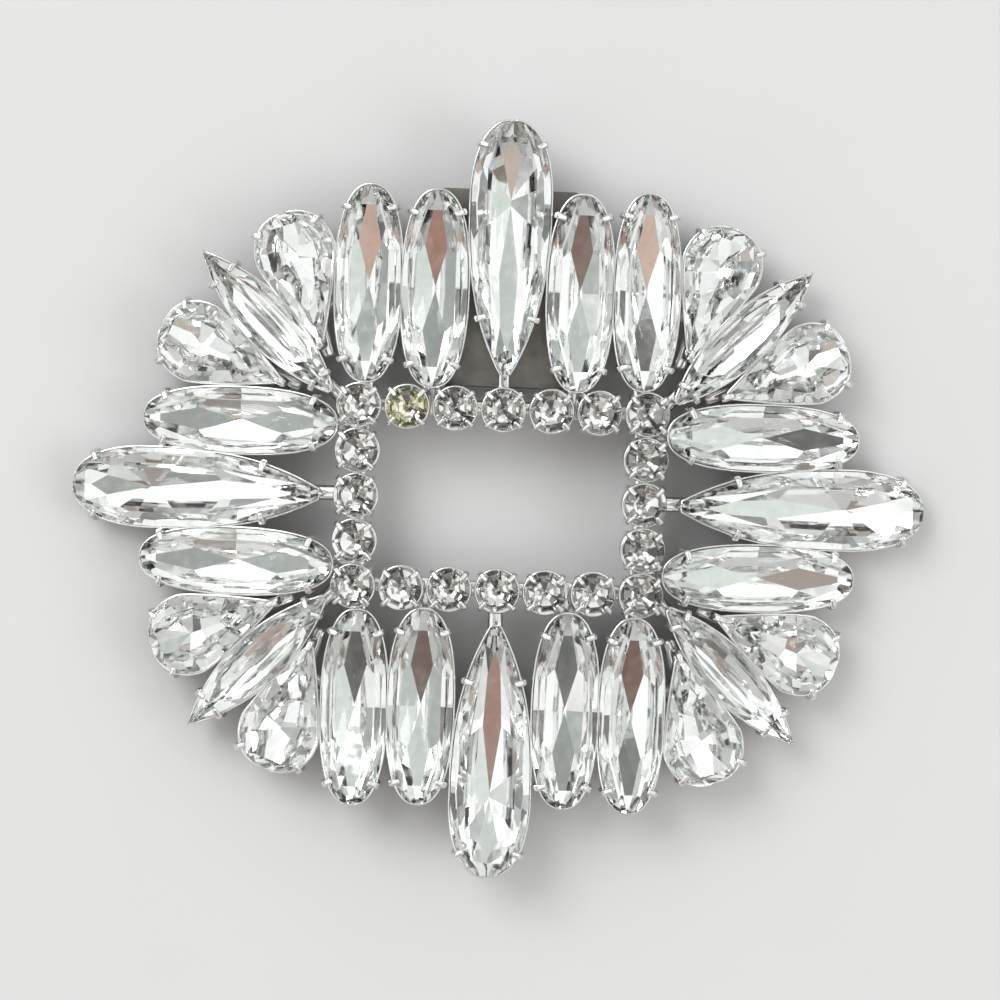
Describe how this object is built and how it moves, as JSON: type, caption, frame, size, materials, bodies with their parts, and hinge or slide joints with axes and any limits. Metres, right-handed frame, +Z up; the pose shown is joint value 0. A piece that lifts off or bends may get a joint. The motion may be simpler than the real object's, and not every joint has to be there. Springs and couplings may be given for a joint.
{
  "type": "shoe buckle",
  "caption": "Rectangular ring of round cut stones in a sunburst of claw-set pear, oval and navette stones, gently arched, with a clip behind.",
  "frame": {"origin": "below the middle of the rectangular hole, on the surface that the buckle lies on", "axes": "+Z up out of the stones' faces, +Y towards the side that faces the shoe's heel, +X to the right seen from above"},
  "size_m": [0.0676, 0.0594, 0.0075],
  "materials": {
    "stone": "foil-backed cut crystal glass",
    "frame_metal": "bright silver-coloured plating",
    "clip_metal": "silver-coloured plating"
  },
  "bodies": {
    "root": {"east_pear": "stone", "north_east_inner_oval": "stone", "north_east_lower_pear": "stone", "north_east_navette": "stone", "north_east_outer_oval": "stone", "north_east_side_oval": "stone", "north_east_upper_pear": "stone", "north_pear": "stone", "north_west_inner_oval": "stone", "north_west_lower_pear": "stone", "north_west_navette": "stone", "north_west_outer_oval": "stone", "north_west_side_oval": "stone", "north_west_upper_pear": "stone", "round_stones": "stone", "south_east_inner_oval": "stone", "south_east_lower_pear": "stone", "south_east_navette": "stone", "south_east_outer_oval": "stone", "south_east_side_oval": "stone", "south_east_upper_pear": "stone", "south_pear": "stone", "south_west_inner_oval": "stone", "south_west_lower_pear": "stone", "south_west_navette": "stone", "south_west_outer_oval": "stone", "south_west_side_oval": "stone", "south_west_upper_pear": "stone", "west_pear": "stone", "frame": "frame_metal", "shoe_clip": "clip_metal"}
  },
  "joints": []
}
